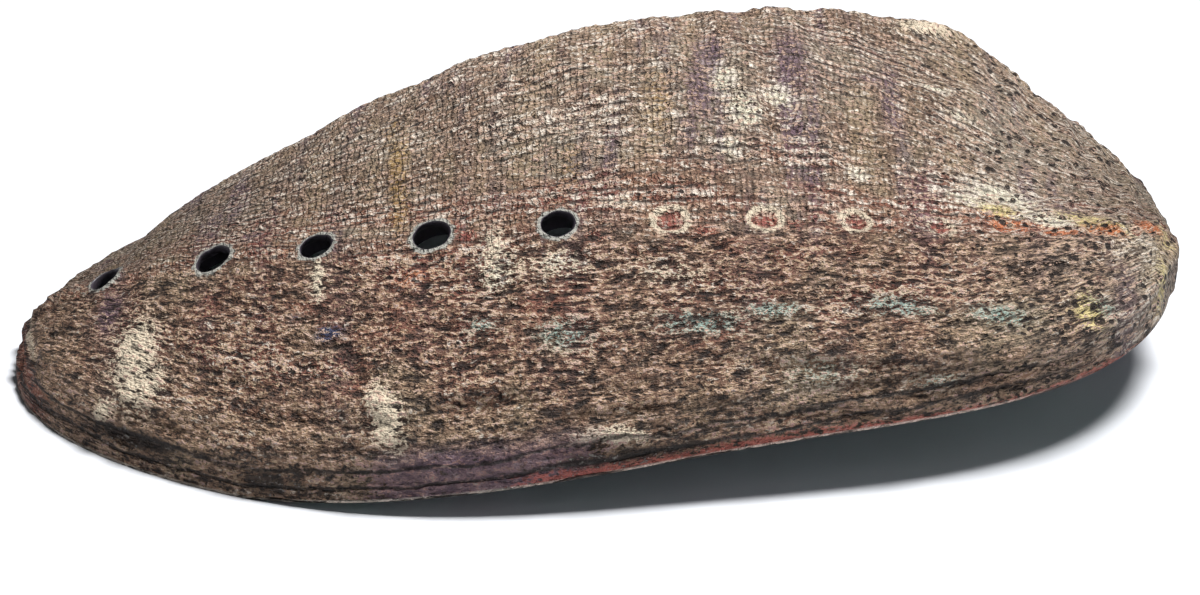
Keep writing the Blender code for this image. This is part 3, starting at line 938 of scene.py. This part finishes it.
    # Coats from the ground up: the field that places one, how much the grain breaks it up, the values where
    # it starts and where it is full, how strong it is then, the field it is kept to, and its colour.
    coats = (
        ("broad", 0.0, 0.40, 0.60, 1.0, "", "grey"),
        ("drift", 0.0, -0.39, 0.72, 1.0, "flank", "russet"),
        ("drift", 0.0, 0.0, 1.0, 1.0, "old", "slate"),
        ("mottle", 0.0, 0.50, 0.66, 0.6, "", "umber"),
        ("bands", 0.0, 0.50, 0.62, 0.6, "back", "sand"),
        ("bands", 0.0, 0.46, 0.36, 0.75, "back", "plum"),
        ("drift", 0.0, 0.42, 0.34, 0.45, "flank", "rust"),
        ("broad", 0.0, 0.46, 0.34, 0.4, "", "moss"),
        ("rusty", 0.0, 0.55, 0.75, 0.7, "", "rust"),
        ("tan_place", 0.0, 0.87, 0.99, 0.8, "flank", "sand"),
        ("plug", 0.8, 0.25, 0.65, 0.75, "", "coral"),
        # Pale flecks, with painted light on the crests and threads mixed in.
        ("pale", 0.0, 0.53, 0.63, 0.85, "", "fleck"),
        ("buff_place", 0.0, 1.01, 1.11, 0.85, "flank", "buff"),
        # Painted light: the low near flank lightened towards the margin.
        ("edge", 0.0, 19.0, 5.0, 0.3, "low", "sand"),
        ("purple", 1.2, 0.12, 0.60, 0.8, "", "plum"),
        ("ochre", 1.3, 0.15, 0.60, 0.55, "", "ochre"),
        ("beak", 0.8, 0.25, 0.65, 0.85, "", "rust"),
        ("red", 1.5, 0.25, 0.65, 0.85, "", "coral"),
        ("yellow", 1.5, 0.20, 0.60, 0.85, "", "straw"),
        ("orange", 1.5, 0.20, 0.60, 0.9, "", "orange"),
        ("blue", 1.5, 0.25, 0.65, 0.9, "", "ink"),
        ("teal", 1.9, 0.35, 0.80, 0.75, "", "verdigris"),
        ("bleached", 1.7, 0.42, 0.75, 0.85, "", "lichen"),
        ("line", 0.0, 0.0, 1.0, 1.0, "", "umber"),
        # Painted shade in the cord grooves, the flank's slots and the pits; the specks are dark grains.
        ("groove", 0.0, 0.0, 1.0, 1.0, "", "shadow"),
        ("slot", 0.0, 0.0, 1.0, 1.0, "", "shadow"),
        ("speck", 0.0, 0.0, 1.0, 1.0, "", "shadow"),
        ("pit", 0.0, 0.0, 1.0, 1.0, "", "shadow"),
        ("crust", 1.2, 0.20, 0.50, 0.92, "", "cream"),
        ("dark_place", 0.0, 0.65, 0.56, 0.8, "flank", "shadow"),
        ("scar", 1.1, 0.25, 0.65, 0.8, "", "cream"),
        ("violet_edge", 1.5, 0.25, 0.65, 0.7, "near_edge", "plum"),
        ("salmon", 1.2, 0.20, 0.60, 0.85, "", "salmon"),
        ("edge", 0.0, 0.45, 0.20, 0.7, "low", "fleck"),
        # Painted shade under the plate edges and in the crease.
        ("plate", 0.0, 0.0, 1.0, 1.0, "", "shadow"),
        ("crease", 0.7, 0.25, 0.60, 0.9, "", "shadow"),
        ("rim", 0.9, 0.25, 0.65, 0.9, "", "worn"),
    )
    colour = colours["brown"]
    for source, ragged, low, high, top, kept_to, tint in coats:
        amount = put(tree, "ShaderNodeMath", {0: field["spread"], 1: ragged, 2: field[source]},
                     operation="MULTIPLY_ADD").outputs[0]
        amount = put(tree, "ShaderNodeMapRange", {
            "Value": amount, "From Min": low, "From Max": high, "To Max": top,
        }).outputs[0]
        if kept_to:
            amount = put(tree, "ShaderNodeMath", {0: amount, 1: field[kept_to]},
                         operation="MULTIPLY").outputs[0]
        colour = put(tree, "ShaderNodeMix", {0: amount, 6: colour, 7: colours[tint]},
                     data_type="RGBA").outputs[2]
    tree.links.new(colour, shader.inputs["Base Color"])

    rough = put(tree, "ShaderNodeMapRange", {
        "Value": field["mottle"], "To Min": 0.55, "To Max": 0.9,
    }).outputs[0]
    tree.links.new(rough, shader.inputs["Roughness"])
    raised = 0.0
    heights = (("fleck", 1.2), ("streak", 0.8), ("fine", 0.7), ("grit", 0.7), ("pit", -0.9),
               ("groove", -0.5), ("slot", -0.6), ("line", -0.5), ("plate", -1.2), ("crease", -1.5))
    for source, factor in heights:
        raised = put(tree, "ShaderNodeMath", {0: field[source], 1: factor, 2: raised},
                     operation="MULTIPLY_ADD").outputs[0]
    bumped = put(tree, "ShaderNodeBump", {"Height": raised, "Strength": 1.0, "Distance": 0.0009})
    tree.links.new(bumped.outputs["Normal"], shader.inputs["Normal"])
    return material


def nacre(colours):
    """Mother-of-pearl: thin plates of aragonite laid down smooth.

    It is glossy, with rose and green bands.
    """
    material, tree, shader = new_material("grown nacre", 0.24, 1.6)
    shader.inputs["Coat Weight"].default_value = 0.4
    shader.inputs["Coat Roughness"].default_value = 0.12
    shader.inputs["Thin Film Thickness"].default_value = 420.0
    shader.inputs["Thin Film IOR"].default_value = 1.5
    place = put(tree, "ShaderNodeMapping", {
        "Vector": put(tree, "ShaderNodeTexCoord").outputs["Object"], "Scale": (1000.0, 1000.0, 1000.0),
    }).outputs["Vector"]
    swirl = put(tree, "ShaderNodeTexNoise", {
        "Vector": place, "Scale": 1 / SWIRL_MM, "Detail": 3.0, "Distortion": 1.4,
    }).outputs["Fac"]
    bands = put(tree, "ShaderNodeValToRGB", {"Fac": swirl})
    stops = bands.color_ramp.elements
    stops[0].position = 0.3
    stops[0].color = colours["rose"]
    stops[1].position = 0.72
    stops[1].color = colours["sea"]
    for position, tint in ((0.44, "pearl"), (0.56, "mint"), (0.64, "rose")):
        stop = stops.new(position)
        stop.color = colours[tint]
    tree.links.new(bands.outputs["Color"], shader.inputs["Base Color"])
    ripple = put(tree, "ShaderNodeTexNoise", {
        "Vector": place, "Scale": 1 / RIPPLE_MM, "Detail": 2.0,
    }).outputs["Fac"]
    bumped = put(tree, "ShaderNodeBump", {"Height": ripple, "Strength": 0.35, "Distance": 0.0006})
    tree.links.new(bumped.outputs["Normal"], shader.inputs["Normal"])
    return material


def cut_edge(colours):
    """The wall's layers seen in the holes: smooth worn lime, dark grey-violet mottled with painted shade, and
    a little glossy.
    """
    material, tree, shader = new_material("worn hole wall with painted shade", 0.45, 1.56)
    place = put(tree, "ShaderNodeMapping", {
        "Vector": put(tree, "ShaderNodeTexCoord").outputs["Object"], "Scale": (1000.0, 1000.0, 1000.0),
    }).outputs["Vector"]
    mottle = put(tree, "ShaderNodeTexNoise", {
        "Vector": place, "Scale": 1 / WALL_GRAIN_MM, "Detail": 3.0,
    }).outputs["Fac"]
    # The walls mottle between grey-violet and near-black painted shade.
    colour = put(tree, "ShaderNodeMix", {0: mottle, 6: colours["violet"], 7: colours["shadow"]},
                 data_type="RGBA").outputs[2]
    tree.links.new(colour, shader.inputs["Base Color"])
    bumped = put(tree, "ShaderNodeBump", {"Height": mottle, "Strength": 0.4, "Distance": 0.0002})
    tree.links.new(bumped.outputs["Normal"], shader.inputs["Normal"])
    return material


class ShellSizes(PropertyGroup):
    """Sizes of the shell's relief, in mm."""

    cord_height: FloatProperty(name="Cord height", description="How far a cord stands out", default=0.6,
                               min=0.0, max=2.0)
    growth_step: FloatProperty(name="Growth step", description="Height of one fine growth step", default=0.22,
                               min=0.0, max=1.0)
    ridge_height: FloatProperty(name="Row ridge", description="Height of the ridge under the holes",
                                default=1.3, min=0.0, max=3.0)
    roughness: FloatProperty(name="Weathering", description="Height of the worn lumps", default=0.16,
                             min=0.0, max=1.0)
    plate_height: FloatProperty(name="Margin plates", description="Height of the plates along the margin",
                                default=0.7, min=0.0, max=2.0)
    fold_height: FloatProperty(name="Folds", description="Height of the broad folds on the back",
                               default=0.35, min=0.0, max=2.0)
    beak_roll: FloatProperty(name="Beak roll", description="Height of the rolled strip at the front end",
                             default=0.8, min=0.0, max=2.0)
    rim_height: FloatProperty(name="Hole rims", description="How far an open hole's rim stands out",
                              default=0.75, min=0.0, max=2.0)


class ShellColours(PropertyGroup):
    """Colours of the shell, each one a property with its own name."""

    __annotations__ = {
        key: FloatVectorProperty(name=name, description="Colour of: " + name.lower(), subtype="COLOR", size=4,
                                 min=0.0, max=1.0, default=linear(code))
        for key, (code, name) in COLOURS.items()
    }


class StudioSettings(PropertyGroup):
    """Light and floor of the studio."""

    floor_colour: FloatVectorProperty(name="Floor", description="Colour of the floor", subtype="COLOR",
                                      size=4, default=linear(FLOOR_COLOUR), min=0.0, max=1.0)
    sky_colour: FloatVectorProperty(name="Sky colour", description="Colour of the light from all round",
                                    subtype="COLOR", size=4, default=linear(SKY_COLOUR), min=0.0, max=1.0)
    light: FloatProperty(name="Light", description="Power of the large lamp over the shell", default=25.5,
                         min=0.0, subtype="POWER")
    sky: FloatProperty(name="Sky", description="Strength of the light from all round", default=0.035, min=0.0)


class ABALONE_OT_shell(Operator):
    """Build the shell over its frame"""

    bl_idname = "abalone.shell"
    bl_label = "Build Shell"

    def execute(self, context):
        item = shell_object(context.scene.abalone_sizes)
        colours = {key: tuple(getattr(context.scene.abalone_colours, key)) for key in COLOURS}
        for material in (weathered_lime(colours), nacre(colours), cut_edge(colours)):
            item.data.materials.append(material)
        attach(item, "root")
        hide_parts("shell")
        return {"FINISHED"}


class ABALONE_OT_studio(Operator):
    """Set out the floor, the lights and the camera"""

    bl_idname = "abalone.studio"
    bl_label = "Set Out Studio"

    def execute(self, context):
        settings = context.scene.abalone_studio
        build_floor(settings)
        build_lights(context.scene, settings)
        build_camera(context.scene)
        return {"FINISHED"}


def build_floor(settings):
    """A wide matt table top."""
    mesh = bmesh.new()
    bmesh.ops.create_grid(mesh, x_segments=1, y_segments=1, size=FLOOR_HALF)
    data = bpy.data.meshes.new("table_top")
    mesh.to_mesh(data)
    mesh.free()
    floor = bpy.data.objects.new("table_top", data)
    material, tree, shader = new_material("matt white board", 0.9, 1.45)
    shader.inputs["Base Color"].default_value = settings.floor_colour
    data.materials.append(material)
    bpy.context.scene.collection.objects.link(floor)


def build_lights(scene, settings):
    """A large soft lamp above and to the right, a faint one in front, and pale light all round."""
    for name, (place, size, share) in LAMPS.items():
        lamp = bpy.data.lights.new(name, "AREA")
        lamp.shape = "DISK"
        lamp.size = size
        lamp.energy = settings.light * share
        item = bpy.data.objects.new(name, lamp)
        item.location = place
        item.rotation_euler = (Vector(place) - Vector(LIT_POINT)).to_track_quat("Z", "Y").to_euler()
        scene.collection.objects.link(item)
    world = bpy.data.worlds.new("studio")
    world.use_nodes = True
    background = world.node_tree.nodes["Background"]
    background.inputs["Color"].default_value = settings.sky_colour
    background.inputs["Strength"].default_value = settings.sky
    scene.world = world
    scene.view_settings.view_transform = "Standard"


def build_camera(scene):
    """A long lens from the front, looking a little down on the shell."""
    camera = bpy.data.cameras.new("camera")
    camera.sensor_width = CAMERA_SENSOR_MM
    camera.lens = CAMERA_LENS_MM
    item = bpy.data.objects.new("camera", camera)
    item.location = CAMERA_PLACE
    looking = Vector((math.sin(CAMERA_ASIDE), math.cos(CAMERA_DOWN), -math.sin(CAMERA_DOWN)))
    item.rotation_euler = looking.to_track_quat("-Z", "Y").to_euler()
    scene.collection.objects.link(item)
    scene.camera = item


class ABALONE_PT_panel(Panel):
    """Shows the shell's sizes and colours and the studio's settings"""

    bl_label = "Abalone Shell"
    bl_idname = "ABALONE_PT_panel"
    bl_space_type = "VIEW_3D"
    bl_region_type = "UI"
    bl_category = "Abalone"

    def draw(self, context):
        sizes = context.scene.abalone_sizes
        for name in ("cord_height", "growth_step", "ridge_height", "roughness", "plate_height", "fold_height",
                     "beak_roll", "rim_height"):
            self.layout.prop(sizes, name)
        for name in COLOURS:
            self.layout.prop(context.scene.abalone_colours, name)
        self.layout.operator(ABALONE_OT_shell.bl_idname)
        studio = context.scene.abalone_studio
        for name in ("floor_colour", "sky_colour", "light", "sky"):
            self.layout.prop(studio, name)
        self.layout.operator(ABALONE_OT_studio.bl_idname)


CLASSES = (ShellSizes, ShellColours, StudioSettings, ABALONE_OT_shell, ABALONE_OT_studio, ABALONE_PT_panel)


def register():
    """Register the classes and their settings."""
    for item in CLASSES:
        bpy.utils.register_class(item)
    bpy.types.Scene.abalone_sizes = PointerProperty(type=ShellSizes)
    bpy.types.Scene.abalone_colours = PointerProperty(type=ShellColours)
    bpy.types.Scene.abalone_studio = PointerProperty(type=StudioSettings)


def unregister():
    """Take the classes and their settings away again."""
    del bpy.types.Scene.abalone_studio
    del bpy.types.Scene.abalone_colours
    del bpy.types.Scene.abalone_sizes
    for item in reversed(CLASSES):
        bpy.utils.unregister_class(item)


def main():
    """Build every piece in order."""
    register()
    bpy.ops.abalone.shell()
    bpy.ops.abalone.studio()


if __name__ == "__main__":
    main()
